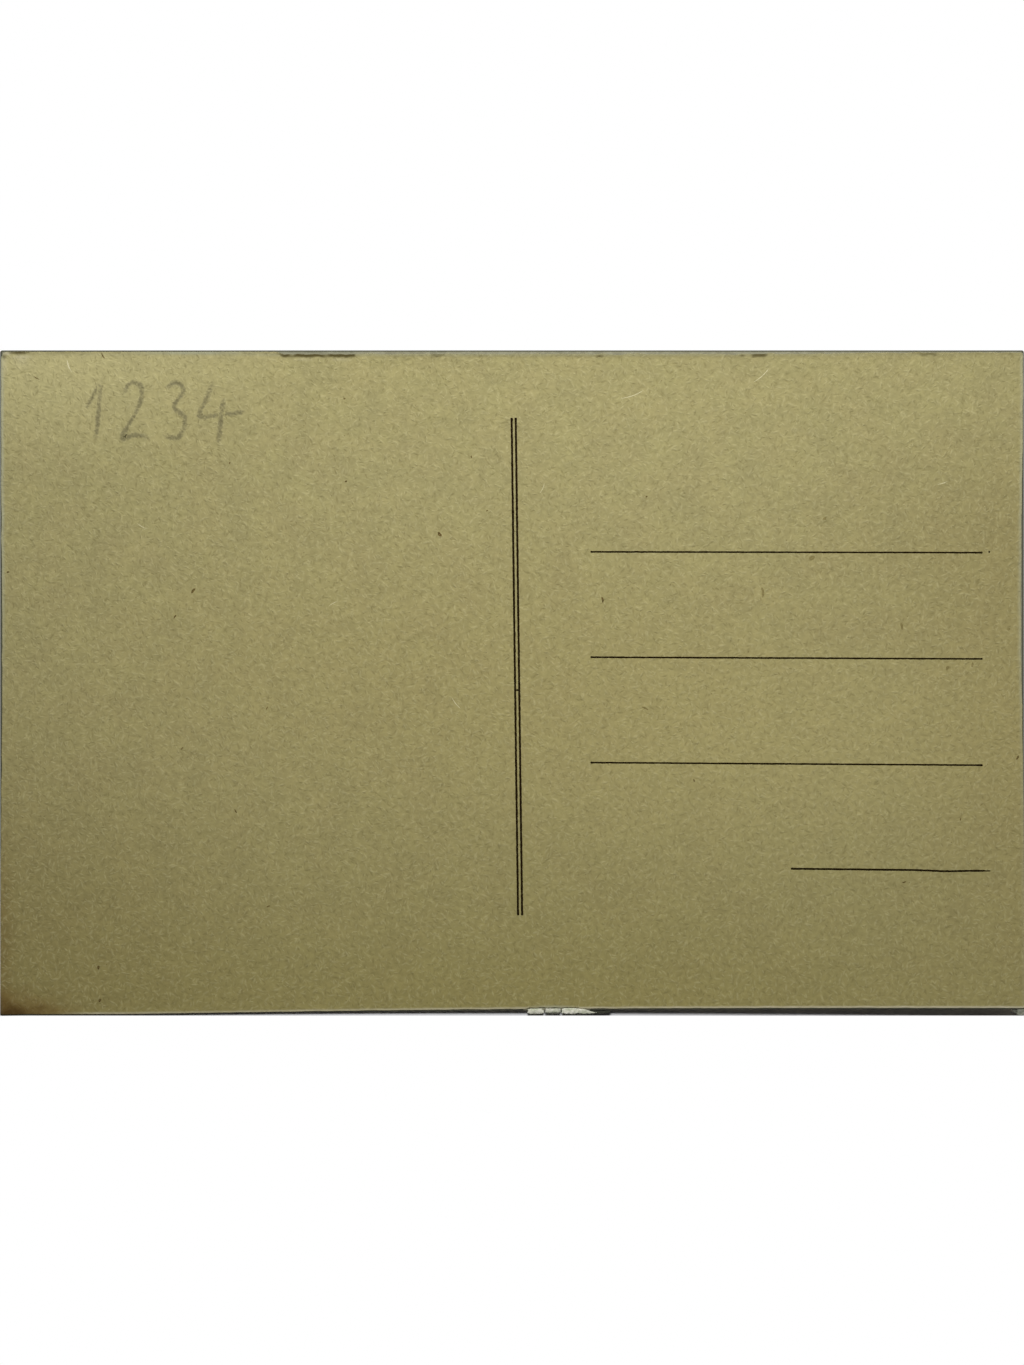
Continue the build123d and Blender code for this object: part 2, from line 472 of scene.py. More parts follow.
# Slivers that lie under the surface, dulled by the pulp over them
sunkSliver = dict(
    tone="#857A4D", pale="#8F8455", dark="#766B40", fibreCell=0.4, patchSize=0.4, depth=0.01 * mm)
# Bleached fibres that lie loose on the paper
looseFibre = dict(
    tone="#D0C9A2", pale="#DDD6B2", dark="#BDB58C", fibreCell=0.4, patchSize=0.5, depth=0.01 * mm)
# what these boards and pulps share
pulpFinish = dict(patchSpan=(0.38, 0.62), rough=(0.97, 0.86), specular=0.25)
# mm in from the top edge over which the dirt and painted shade at the rim fade, how much slower they thin out
# from the other edges, and the middle, reach and fade in mm of the clean place where the flake has torn out
rimDirtAndShadeSpread = dict(
    span=(0.12, 0.24), shares=(0.95, 0), atSide=0.6, atFoot=0.5,
    cleanMiddle=6.1, cleanReach=4.6, cleanFade=0.4)


# how far in from the rim a place lies, as the rim's dirt and painted shade have found it
def rimInset(tree, place):
    axes = addNode(tree, "SeparateXYZ", [place])
    x, y = axes.outputs["X"], axes.outputs["Y"]
    atSide = rimDirtAndShadeSpread["atSide"]
    aside = addNode(tree, "Math.ABSOLUTE", [x])
    fromSide = addNode(tree, "Math.MULTIPLY_ADD", [aside, -atSide, atSide * card["right"] / mm])
    fromTop = addNode(tree, "Math.SUBTRACT", [card["top"] / mm, y])
    bow = -4 * card["trimBow"] * mm / cardLength ** 2
    slope = addNode(tree, "Math.MULTIPLY_ADD", [x, bow, card["trimRise"] / cardLength])
    foot = addNode(tree, "Math.MULTIPLY_ADD", [slope, x, trimLine(0) / mm])
    above = addNode(tree, "Math.SUBTRACT", [y, foot])
    fromFlake = addNode(tree, "Math.SUBTRACT", [x, rimDirtAndShadeSpread["cleanMiddle"]])
    besideFlake = addNode(tree, "Math.ABSOLUTE", [fromFlake])
    cleanReach = rimDirtAndShadeSpread["cleanReach"]
    clean = addNode(tree, "MapRange", [besideFlake, cleanReach - rimDirtAndShadeSpread["cleanFade"], cleanReach, 1, 0])
    fromFoot = addNode(tree, "Math.MULTIPLY_ADD", [above, rimDirtAndShadeSpread["atFoot"], clean])
    upright = addNode(tree, "Math.MINIMUM", [fromTop, fromFoot])
    return addNode(tree, "Math.MINIMUM", [fromSide, upright])


def makeGreyBoard(name, tones):
    material, tree = newMaterial(name)
    place = placeInMm(tree)
    patches = addNode(tree, "TexNoise", {
        "Vector": place, "Scale": 1 / tones["patchSize"], "Detail": 4.0, "Roughness": 0.65})
    cells = addNode(tree, "VectorMath.SCALE", {0: place, "Scale": 1 / tones["fibreCell"]})
    fibres = addNode(tree, "Group", {"Vector": cells}, node_tree=fibreGroup)
    shown = layTone(tree, tones["dark"], patches, tones["tone"], pulpFinish["patchSpan"])
    shown = layTone(tree, shown, fibres, tones["pale"])
    # dirt and painted shade at the rim
    if "rimDirtAndShade" in tones:
        inset = rimInset(tree, place)
        shown = layTone(tree, shown, inset, tones["rimDirtAndShade"], rimDirtAndShadeSpread["span"], rimDirtAndShadeSpread["shares"])
    # soil and painted shade, where the piece says
    if "soilAndShade" in tones:
        soilAndShade = addNode(tree, "Attribute", attribute_name="soilAndShade")  # the piece says where
        shown = layTone(tree, shown, soilAndShade.outputs["Fac"], tones["soilAndShade"])
    height = addNode(tree, "Math.ADD", [fibres, patches])
    finishSurface(tree, pulpFinish | tones, shown, patches, height)
    return material


# Clay coat of the picture side: smooth, cream with age, with a few rusty foxing spots
clayCoat = dict(
    tone="#DCCFAE", aged="#CBBB93", cloudSize=22.0, foxing="#A98455", foxShare=0.7, foxCell=17.0,
    foxRadius=0.9, rough=(0.42, 0.56), specular=0.5)


def makeClayCoat():
    material, tree = newMaterial("clayCoat")
    place = placeInMm(tree)
    clouds = addNode(tree, "TexNoise", {"Vector": place, "Scale": 1 / clayCoat["cloudSize"], "Detail": 4.0})
    shown = layTone(tree, clayCoat["tone"], clouds, clayCoat["aged"])
    spots = addNode(tree, "TexVoronoi", {
        "Vector": place, "Scale": 1 / clayCoat["foxCell"]}, voronoi_dimensions="2D")
    radius = clayCoat["foxRadius"] / clayCoat["foxCell"]
    shown = layTone(tree, shown, spots, clayCoat["foxing"], (0, radius), (clayCoat["foxShare"], 0))
    finishSurface(tree, clayCoat, shown, clouds)
    return material


# Sepia collotype: a view of plain hills over water in one brown ink, in soft tones with a
# fine worm-like grain and a slight sheen. Each ridge hides the one before it.
collotype = dict(
    skyLow="#DACBA4",
    skyHigh="#B9A57C",
    skyReach=(4.0, 40.0),  # from the horizon up, in mm above the middle of the card
    cloudSize=(34, 9),
    clouds=((0.45, 0.7), (0, 0.6)),  # span of the pattern, and shares at its ends
    ridges=(  # height in mm, swell in mm, length of a hill in mm, tone
        (9.0, 16.0, 46.0, "#A8936B"),
        (3.0, 14.0, 30.0, "#8C7650"),
        (-3.0, 9.0, 17.0, "#6A5536"),
    ),
    ridgeFade=(-0.1, 0.3),
    haze=((0, 10), (0, 0.35)),
    shore=(-8.0, -8.4),
    water="#B7A37A",
    deepWater=("#8A7550", (0.4, 0.62)),
    streakSize=(26, 1.3),
    bank=-27.0,
    bankSwell=7.0,
    bankLength=38,
    bankTone="#443420",
    bankPale="#6E5837",
    grassPerMm=0.9,
    grainSize=0.22,
    grainDepth=0.14,
    rough=(0.4, 0.52),
    specular=0.5,
)


def makeCollotype():
    material, tree = newMaterial("sepiaCollotype")
    place = placeInMm(tree)
    axes = addNode(tree, "SeparateXYZ", [place])
    x, y = axes.outputs["X"], axes.outputs["Y"]
    haze = collotype["skyLow"]

    # level streaks of this length and height
    def streaks(size, detail):
        drawn = addNode(tree, "VectorMath.MULTIPLY", [place, (1 / size[0], 1 / size[1], 0)])
        return addNode(tree, "TexNoise", {"Vector": drawn, "Scale": 1.0, "Detail": detail})

    # how far a place lies under a line of hills
    def underHills(length, swell, lowest, detail, roughness):
        hills = addNode(tree, "TexNoise", {
            "W": x, "Scale": 1 / length, "Detail": detail, "Roughness": roughness}, noise_dimensions="1D")
        line = addNode(tree, "Math.MULTIPLY_ADD", [hills, swell, lowest])
        return addNode(tree, "Math.SUBTRACT", [line, y])

    view = layTone(tree, haze, y, collotype["skyHigh"], collotype["skyReach"])
    view = layTone(tree, view, streaks(collotype["cloudSize"], 5.0), haze, *collotype["clouds"])
    for layer, (height, swell, length, tone) in enumerate(collotype["ridges"]):
        under = underHills(length, swell, height - swell / 2, 4.0 + layer, 0.5)
        hill = layTone(tree, tone, under, haze, *collotype["haze"])
        view = layTone(tree, view, under, hill, collotype["ridgeFade"])

    # water with level streaks, then the near bank
    water = layTone(
        tree, collotype["water"], streaks(collotype["streakSize"], 3.0), *collotype["deepWater"])
    view = layTone(tree, view, y, water, collotype["shore"])
    grass = addNode(tree, "TexNoise", {"Vector": place, "Scale": collotype["grassPerMm"], "Detail": 5.0})
    bank = layTone(tree, collotype["bankTone"], grass, collotype["bankPale"])
    under = underHills(collotype["bankLength"], collotype["bankSwell"], collotype["bank"], 6.0, 0.6)
    view = layTone(tree, view, under, bank, collotype["ridgeFade"])
    grain = addNode(tree, "TexNoise", {
        "Vector": place, "Scale": 1 / collotype["grainSize"], "Detail": 2.0, "Distortion": 1.5})
    finishSurface(tree, collotype, grainTone(tree, view, grain, collotype["grainDepth"]), grain)
    return material


buffPaper = makeBuffPaper()
inkMaterial = makePrintInk()
graphiteMaterial = makeGraphite()
tornMaterial = makeGreyBoard("tornBoard", tornBoard)
print("materials made")


# Pieces

# CAD nodes whose shape is right as it is
pasteMaterial = makeGreyBoard("starchPaste", starchPaste)
dress(nodes["address_paste"], pasteMaterial)
dress(nodes["picture_paste"], pasteMaterial)
dress(nodes["picture_ply"], makeGreyBoard("yellowedRag", yellowedRag))
dress(nodes["picture_coat"], makeClayCoat())
dress(nodes["picture_ink"], makeCollotype())
print("board dressed")

# the address paper: worn back along the top, chipped in five places, one corner rubbed away
addressPaper = dict(
    columnPitch=0.3 * mm,
    rowPitch=1.5 * mm,
    edgeSteps=(0.0, 0.012, 0.03, 0.06, 0.11, 0.18, 0.27, 0.38, 0.52, 0.72, 1.05),  # mm in from an edge
    topWear=0.52 * mm,
    topWearAtLeft=0.42,  # share of that wear up to the left end of the long chip
    topWearAtRight=0.62,  # and its share at the right end
    topEase=(34 * mm, 24 * mm),  # where it starts to ease off to the right, and over what length
    # mm at the foot and at the top, then more about a middle, with that middle's height and reach
    sideWear=dict(left=(0.0, 0.17, 0.20, 0.52, 0.35), right=(0.0, 0.16, 0.36, 0.62, 0.32)),
    sideSeed=dict(left=7.0, right=9.0),
    footWear=0.145 * mm,  # from the middle to the right
    cornerWear=0.18 * mm,  # at the lower left corner
    cornerWearReach=20 * mm,
    wearSize=2.6 * mm,
    fraySize=0.7 * mm,
    ragSize=0.9 * mm,
    chipRagSize=1.1 * mm,
    arris=0.045 * mm,  # how far the cut edge has rounded over
    cockle=0.03 * mm,
    cockleSize=24 * mm,
    cockleFade=6 * mm,
    rubAndHighlightFade=(0.13 * mm, 0.36 * mm),
    rubAndHighlightPatch=1.7 * mm,
    footRubAndHighlight=(0.6, 0.95),  # at the left and the right end of the lower edge
    rubAndHighlightStart=(6 * mm, 8 * mm),  # how far from the stained corner it starts, and over what length
    thinFade=(0.15 * mm, 0.55 * mm),
    sideThin=dict(left=0.55, right=0.38),
    thinFrom=dict(left=-8 * mm, right=-20 * mm),  # no thinner than the least below this height
    thinLeast=dict(left=0.1, right=0.4),
    thinRise=30 * mm,
    thinPatch=1.3 * mm,
    grimeAndShadeFade=(0.28 * mm, 0.5 * mm),
    topGrimeAndShade=(0.19, 0.30),  # dirt and painted shade all along the top, at the ends and the middle, fading down the paper
    topGrimeAndShadeMiddle=5 * mm,
    topGrimeAndShadeReach=45 * mm,
    topGrimeAndShadeFade=(0.14 * mm, 0.8 * mm),
    smoothAngle=50,
)
chips = (  # each runs in from the left over its lead and ends short at the right; its last value is the share of dirt and painted shade in its torn edge
    dict(place=-27.0 * mm, length=11.8 * mm, depth=0.54 * mm, lead=1.9 * mm, grimeAndShade=1.0),
    dict(place=-10.3 * mm, length=2.8 * mm, depth=0.42 * mm, lead=1.0 * mm, grimeAndShade=0.6),
    dict(place=7.2 * mm, length=2.8 * mm, depth=0.45 * mm, lead=1.0 * mm, grimeAndShade=0.4),
    dict(place=33.7 * mm, length=2.8 * mm, depth=0.48 * mm, lead=0.8 * mm, grimeAndShade=0.9),
    dict(place=56.4 * mm, length=3.8 * mm, depth=0.32 * mm, lead=1.6 * mm, grimeAndShade=0.6),
)
# marks of thumbs on the edge: x and y of the middle and reach along both in mm, and share of the mark
thumbDirt = (
    (-67.4, 45.2, 2.5, 0.45, 1.0), (-61.5, 45.2, 6.5, 0.5, 0.38), (-69.4, 44.65, 0.7, 0.5, 0.7),
    (-15.8, 44.7, 0.7, 0.3, 0.45), (-14.2, 44.3, 0.8, 0.3, 0.45), (-5.1, 44.85, 0.5, 0.35, 0.5),
    (-4.2, 44.75, 0.7, 0.3, 0.6), (-2.2, 44.75, 0.7, 0.3, 0.35), (9.1, 44.7, 0.6, 0.4, 0.35),
    (12.0, 44.72, 1.0, 0.32, 1.0), (18.9, 44.7, 0.8, 0.35, 0.35), (31.5, 44.8, 0.7, 0.28, 0.9),
)
# pale marks on the edge, partly rubbed paper and partly painted highlight: x and y of the middle and reach
# along both in mm, and share of the mark
thumbRubAndHighlight = (
    (-67.1, 44.55, 2.2, 0.55, 0.38), (-69.05, 45.1, 0.75, 0.45, 0.9), (-28.5, 44.28, 1.9, 0.3, 0.25),
    (-23.4, 44.28, 1.9, 0.3, 0.28), (-69.3, 43.6, 0.6, 1.6, 0.4),
)
thumbThin = (
    (-43.5, 45.2, 13.0, 0.5, 0.75), (0.0, 44.95, 90.0, 0.42, 0.35), (5.7, -44.35, 4.6, 0.5, 0.7),
)
# cleaner places in the dirt of the long chip
chipClean = ((-25.4, 44.75, 0.6, 0.8, 0.4), (-30.1, 44.8, 0.6, 0.8, 0.45))


# how deep the chip at this place has bitten, and how much dirt and painted shade lies in it
def chipAt(x):
    for chip in chips:
        fromLeft = x - chip["place"] + chip["length"] / 2
        fromRight = chip["length"] - fromLeft
        if fromLeft > 0 and fromRight > 0:
            bite = smoothStep(fromLeft / chip["lead"]) * smoothStep(fromRight / chip["depth"])
            ragged = 1 + 0.15 * wander(x, 0, addressPaper["chipRagSize"], 3.0)
            return chip["depth"] * bite * ragged, chip["grimeAndShade"] * bite
    return 0.0, 0.0


def cornerCut(away, radius):
    if away >= radius:
        return 0.0
    short = radius - max(away, 0.0)
    return radius - math.sqrt(radius * radius - short * short)


# what the rounded corners at the left and the right end take off at this place
def endCuts(x, leftRound, rightRound):
    return cornerCut(x - card["left"], leftRound) + cornerCut(card["right"] - x, rightRound)


def paperTop(x):
    pastChip = smoothStep((x - chips[0]["place"]) / chips[0]["length"] + 0.5)
    share = addressPaper["topWearAtLeft"] + (1 - addressPaper["topWearAtLeft"]) * pastChip
    easeFrom, easeReach = addressPaper["topEase"]
    share -= (1 - addressPaper["topWearAtRight"]) * smoothStep((x - easeFrom) / easeReach)
    waves = 0.3 * wander(x, 0, addressPaper["wearSize"], 1.0)
    waves += 0.1 * wander(x, 0, addressPaper["fraySize"], 2.0)
    worn = addressPaper["topWear"] * share * max(0.95 + waves, 0.3)
    corner = endCuts(x, card["wornRound"], card["cornerRound"])
    return card["top"] - max(worn, chipAt(x)[0]) - corner


# the paper has torn back a little over the flake
flakeTear = dict(first=1.9 * mm, last=9.4 * mm, depth=0.17 * mm, lead=0.5 * mm)


def tearShare(x):
    return smoothStep(min(x - flakeTear["first"], flakeTear["last"] - x) / flakeTear["lead"])


def paperFoot(x):
    fromLeft = x - card["left"]
    worn = addressPaper["footWear"] * smoothStep((fromLeft / cardLength - 0.1) / 0.4)
    worn += addressPaper["cornerWear"] * (1 - smoothStep(fromLeft / addressPaper["cornerWearReach"]))
    worn *= 1 + 0.3 * wander(x, 0, addressPaper["wearSize"], 5.0)
    corner = endCuts(x, card["cornerRound"], card["cornerRound"])
    ragged = 1 + 0.3 * wander(x, 0, addressPaper["ragSize"], 6.0)
    return trimLine(x) + worn + corner + flakeTear["depth"] * tearShare(x) * ragged


def paperSide(y, side):
    foot, head, more, middle, reach = addressPaper["sideWear"][side]
    up = (y - card["low"]) / (card["top"] - card["low"])
    worn = foot + (head - foot) * smoothStep(2 * up)
    worn += more * (1 - smoothStep(abs(up - middle) / reach))
    waves = wander(0, y, addressPaper["wearSize"], addressPaper["sideSeed"][side])
    return worn * mm * max(0.8 + 0.4 * waves, 0.2)


# how far a place on the paper is from its two sides
def sideInsets(x, y):
    left = x - card["left"] - paperSide(y, "left")
    right = card["right"] - paperSide(y, "right") - x
    return dict(left=left, right=right)


# how far a place on the paper is from its nearest edge
def edgeDistance(x, y):
    return min(paperTop(x) - y, y - paperFoot(x), *sideInsets(x, y).values())


# how strong the strongest of these marks is at a place
def markAt(marks, x, y):
    strongest = 0.0
    for middleX, middleY, reachX, reachY, share in marks:
        away = math.hypot((x / mm - middleX) / reachX, (y / mm - middleY) / reachY)
        strongest = max(strongest, share * (1 - smoothStep(away)))
    return strongest


# full up to the first distance from an edge, gone at the second
def edgeFade(distance, reach):
    return 1 - smoothStep((distance - reach[0]) / (reach[1] - reach[0]))


# paper worn thin up the sides and along the top
def thinAt(x, y):
    thin = markAt(thumbThin, x, y)
    for side, inset in sideInsets(x, y).items():
        least = addressPaper["thinLeast"][side]
        up = smoothStep((y - addressPaper["thinFrom"][side]) / addressPaper["thinRise"])
        share = addressPaper["sideThin"][side] * (least + (1 - least) * up)
        thin = max(thin, share * edgeFade(inset, addressPaper["thinFade"]))
    return min(thin * (1 + 0.3 * wander(x, y, addressPaper["thinPatch"], 17.0)), 1.0)


# paper rubbed pale, with a painted highlight, along the lower edge, most of all at its right end
def rubAndHighlightAt(x, y):
    share = smoothStep((x - card["left"]) / cardLength)
    atLeft, atRight = addressPaper["footRubAndHighlight"]
    footShare = (atLeft + share * share * (atRight - atLeft)) * (1 - 0.8 * tearShare(x))
    foot = footShare * edgeFade(y - paperFoot(x), addressPaper["rubAndHighlightFade"])
    fromStain = math.hypot(x - card["left"], y - card["low"])
    rubFrom, rubReach = addressPaper["rubAndHighlightStart"]
    patchy = 0.9 + 0.3 * wander(x, y, addressPaper["rubAndHighlightPatch"], 13.0)
    patchy *= smoothStep((fromStain - rubFrom) / rubReach)
    return min(max(patchy * max(foot, markAt(thumbRubAndHighlight, x, y)), 0.0), 1.0)


# dirt and painted shade in the torn edge of the chips and along the top, and dirt where thumbs have held the
# card
def grimeAndShadeAt(x, y):
    ragged = 1 + 0.35 * wander(x, 0, addressPaper["ragSize"], 15.0)
    below = max(paperTop(x) - y, 0.0)
    inChip = chipAt(x)[1] * edgeFade(below / ragged, addressPaper["grimeAndShadeFade"])
    inChip *= 1 - markAt(chipClean, x, y)
    least, most = addressPaper["topGrimeAndShade"]
    fromMiddle = abs(x - addressPaper["topGrimeAndShadeMiddle"])
    atTop = least + (most - least) * (1 - smoothStep(fromMiddle / addressPaper["topGrimeAndShadeReach"]))
    atTop *= edgeFade(below / ragged, addressPaper["topGrimeAndShadeFade"])
    return min(max(inChip, atTop, markAt(thumbDirt, x, y)), 1.0)


# the address face with its curl and a faint cockle that dies out towards the edges
def faceHeight(x, y):
    inset = min(x - card["left"], card["right"] - x, card["top"] - y, y - trimLine(x))
    fade = smoothStep(inset / addressPaper["cockleFade"])
    rise = 0.5 + 0.5 * wander(x, y, addressPaper["cockleSize"], 11.0)
    return paperFace + curlLift(x, y) + addressPaper["cockle"] * fade * max(rise, 0.0)


# places of the grid's lines, close together at both edges
def gridLines(start, end, pitch):
    steps = [step * mm for step in addressPaper["edgeSteps"]]
    count = round((end - start - 2 * steps[-1]) / pitch)
    inner = (end - start - 2 * steps[-1]) / count
    lines = [start + step for step in steps]
    lines += [start + steps[-1] + inner * index for index in range(1, count)]
    lines += [end - step for step in reversed(steps)]
    return lines


def buildAddressPaper():
    columns = gridLines(card["left"], card["right"], addressPaper["columnPitch"])
    rows = gridLines(0.0, card["top"] - card["low"], addressPaper["rowPitch"])
    thickness = card["paperThickness"]

    def place(column, row):
        x = columns[column]
        share = rows[row] / rows[-1]
        y = paperFoot(x) + share * (paperTop(x) - paperFoot(x))
        leftPull = 1 - smoothStep((x - card["left"]) / mm)
        rightPull = 1 - smoothStep((card["right"] - x) / mm)
        x += paperSide(y, "left") * leftPull - paperSide(y, "right") * rightPull
        return x, y, faceHeight(x, y) - thickness

    sheet = growSheet("address_paper", len(columns), len(rows), place, thickness)
    for vertex in sheet.data.vertices:
        x, y, z = vertex.co
        if z > faceHeight(x, y) - thickness / 2:
            vertex.co.z -= cornerCut(edgeDistance(x, y), addressPaper["arris"])
    for edgeLayer, strength in (("thin", thinAt), ("rubAndHighlight", rubAndHighlightAt), ("grimeAndShade", grimeAndShadeAt)):
        setValues(sheet, edgeLayer, [strength(*vertex.co.xy) for vertex in sheet.data.vertices])
    finishPiece(sheet, addressPaper["smoothAngle"], buffPaper)
    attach(sheet, "root")
    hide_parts("address_ply")
    return sheet


paperPiece = buildAddressPaper()
print("address paper:", len(paperPiece.data.polygons), "faces")

# the printed rules: ink squeezed out at the sides, fuller at the ends
inkRule = dict(
    widths=dict(divider=0.30 * mm, address=0.24 * mm, town=0.275 * mm),
    step=0.09 * mm,
    stray=0.20,  # share of the half width that its edge strays
    straySize=0.6 * mm,
    endSwell=0.18,
    endReach=0.5 * mm,
    dentPlace=59.4 * mm,  # the short rule dips where its brass was bent
    dentDepth=0.11 * mm,
    dentReach=2.6 * mm,
    dryReach=1.6 * mm,  # and it runs dry at its right end
    sunk=0.002 * mm,
    film=0.007 * mm,
    rows=5,
    spotSteps=6,
    smoothAngle=40,
)
ruleNodes = (
    "divider_rule_left", "divider_rule_right",
    "address_rule_1", "address_rule_2", "address_rule_3", "town_rule")
inkSpots = {  # x, y and radius in mm of blots beside a rule
    "divider_rule_left": (0.72, -0.95, 0.15),
    "address_rule_1": (65.25, 17.95, 0.13),
}


# a blot with an uneven outline
def inkSpot(name, x, y, radius):
    steps = inkRule["spotSteps"]

    def place(column, row):
        across = column / steps * 2 - 1
        along = row / steps * 2 - 1
        stretch = max(abs(across), abs(along)) / max(math.hypot(across, along), 0.001)
        reach = radius * stretch * (1 + 0.25 * wander(across, along, 0.9, 21.0 + x))
        spotX = x + across * reach
        spotY = y + along * reach
        return spotX, spotY, faceHeight(spotX, spotY) - inkRule["sunk"]

    return growSheet(name, steps + 1, steps + 1, place, inkRule["film"])


def buildRule(node):
    low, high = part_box(node)
    half = inkRule["widths"][node.split("_")[0]] / 2
    if high.x - low.x > high.y - low.y:
        start = Vector((low.x, high.y - half))
        end = Vector((high.x, low.y + half))
    else:
        start = Vector((low.x + half, high.y))
        end = Vector((high.x - half, low.y))
    length = (end - start).length
    heading = (end - start) / length
    sideways = Vector((-heading.y, heading.x))
    columns = round(length / inkRule["step"])
    rows = inkRule["rows"]
    seed = 31.0 + ruleNodes.index(node)

    def place(column, row):
        along = length * column / (columns - 1)
        side = row / (rows - 1) * 2 - 1
        fromEnd = min(along, length - along)
        swell = 1 + inkRule["endSwell"] * (1 - smoothStep(fromEnd / inkRule["endReach"]))
        strayed = wander(along, side, inkRule["straySize"], seed + math.copysign(5, side))
        stray = 1 + inkRule["stray"] * strayed
        rounding = math.sqrt(1 - (1 - min(fromEnd / half, 0.999)) ** 2)
        spot = start + heading * along + sideways * side * half * swell * stray * max(rounding, 0.45)
        if node == "town_rule":
            dry = 0.6 * (1 - smoothStep((length - along) / inkRule["dryReach"]))
            spot -= sideways * side * half * dry
            fromDent = (spot.x - inkRule["dentPlace"]) / inkRule["dentReach"]
            spot.y -= inkRule["dentDepth"] * math.exp(-fromDent ** 2)
        return spot.x, spot.y, faceHeight(spot.x, spot.y) - inkRule["sunk"]

    pieces = [growSheet("ink_" + node, columns, rows, place, inkRule["film"])]
    if node in inkSpots:
        x, y, radius = inkSpots[node]
        pieces.append(inkSpot("ink_spot", x * mm, y * mm, radius * mm))
    rule = joinPieces("ink_" + node, pieces)
    finishPiece(rule, inkRule["smoothAngle"], inkMaterial)
    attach(rule, "root")
    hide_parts(node)


for ruleNode in ruleNodes:
    buildRule(ruleNode)
print("rules printed")

# a pencilled number in the upper left, four plain figures in a quick slanting hand
pencil = dict(
    width=0.94 * mm,
    step=0.12 * mm,
    sides=(-1.0, -0.55, 0.0, 0.55, 1.0),  # shares of the half width
    sunk=0.002 * mm,
    film=0.006 * mm,
    strokeRise=0.001 * mm,  # each stroke lies a little over the last
    fadeEnd=1.2 * mm,
    weightSize=3.0 * mm,
    smoothAngle=40,
)
pencilStrokes = (  # points in mm
    ((-58.4, 37.4), (-57.3, 39.2), (-56.4, 41.0)),
    ((-56.2, 41.4), (-56.5, 37.4), (-56.9, 33.2)),
    ((-53.2, 39.4), (-52.2, 41.0), (-50.7, 40.6), (-51.0, 37.9), (-53.3, 33.6), (-51.6, 33.9), (-49.3, 33.5)),
    ((-47.4, 40.2), (-46.0, 41.1), (-44.9, 40.0), (-46.2, 37.8), (-44.7, 36.2), (-45.6, 33.6), (-47.9, 33.9)),
    ((-40.9, 41.2), (-41.8, 38.8), (-42.7, 36.5), (-39.8, 36.7), (-36.4, 37.1)),
    ((-39.4, 39.0), (-39.8, 36.0), (-40.1, 32.6)),
)


# an even run of points on a smooth line through the given ones
def strokeLine(points, step):
    path = [Vector(point) * mm for point in points]
    padded = [2 * path[0] - path[1]] + path + [2 * path[-1] - path[-2]]
    fine = []
    for before, start, end, after in zip(padded, padded[1:], padded[2:], padded[3:]):
        leave = start + (end - before) / 6
        arrive = end - (after - start) / 6
        fine += geometry.interpolate_bezier(start, leave, arrive, end, 24)[:-1]
    fine.append(path[-1])
    line = [fine[0]]
    gone = 0.0
    for last, point in zip(fine, fine[1:]):
        gone += (point - last).length
        if gone >= step:
            line.append(point)
            gone = 0.0
    return line


def buildPencilNumber():
    strokes = []
    sides = pencil["sides"]
    for number, points in enumerate(pencilStrokes):
        line = strokeLine(points, pencil["step"])
        length = pencil["step"] * (len(line) - 1)

        def place(column, row):
            ahead = line[min(column + 1, len(line) - 1)] - line[max(column - 1, 0)]
            sideways = Vector((-ahead.y, ahead.x)).normalized()
            width = pencil["width"] * (1 + 0.25 * wander(column, 0, 14, 41.0 + number))
            spot = line[column] + sideways * sides[row] * width / 2
            height = faceHeight(spot.x, spot.y) - pencil["sunk"] + number * pencil["strokeRise"]
            return spot.x, spot.y, height

        stroke = growSheet("pencil_stroke", len(line), len(sides), place, pencil["film"])
        values = []
        for vertexIndex in range(len(stroke.data.vertices)):
            row, column = divmod(vertexIndex % (len(line) * len(sides)), len(line))
            along = pencil["step"] * column
            weight = 0.72 + 0.28 * wander(along, 0, pencil["weightSize"], 51.0 + number)
            ends = smoothStep(0.35 + min(along, length - along) / pencil["fadeEnd"])
            values.append(max((1 - sides[row] ** 2) * weight * ends, 0.0))
        setValues(stroke, "press", values)
        strokes.append(stroke)
    numberPiece = joinPieces("pencil_number", strokes)
    finishPiece(numberPiece, pencil["smoothAngle"], graphiteMaterial)
    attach(numberPiece, "root")


buildPencilNumber()
print("pencil number drawn")

# slivers in the pulp and loose fibres on it: x, y, length and width in mm, and turn in degrees
barkSlivers = (
    (-9.9, 20.35, 0.75, 0.42, 130), (-43.6, 12.65, 0.85, 0.34, 50), (12.4, 11.4, 0.85, 0.28, 100),
    (-46.1, 9.1, 0.62, 0.20, 55), (-22.7, 27.6, 0.36, 0.20, 20), (-38.6, 30.1, 0.34, 0.16, 70),
    (-33.5, -3.4, 0.50, 0.14, 65), (-45.1, -8.9, 0.45, 0.16, 50), (-37.8, -17.5, 0.60, 0.17, 120),
    (-33.3, -30.5, 0.55, 0.18, 20), (24.9, -13.3, 0.45, 0.15, 100), (61.3, -18.6, 0.45, 0.15, 75),
    (69.1, -10.2, 0.65, 0.24, 60), (53.6, -27.2, 0.62, 0.18, 15), (-56.55, -38.87, 0.52, 0.36, 90),
    (-56.35, -43.36, 0.50, 0.36, 60), (-68.9, 15.2, 0.40, 0.22, 0), (-22.9, 38.9, 0.30, 0.18, 10),
    (-3.4, 23.6, 0.34, 0.16, 30), (-55.95, 44.75, 0.95, 0.15, 121), (-65.05, 41.7, 0.85, 0.12, 147),
    (-5.57, 30.95, 0.35, 0.20, 100), (18.4, 25.5, 0.30, 0.18, 20),
)
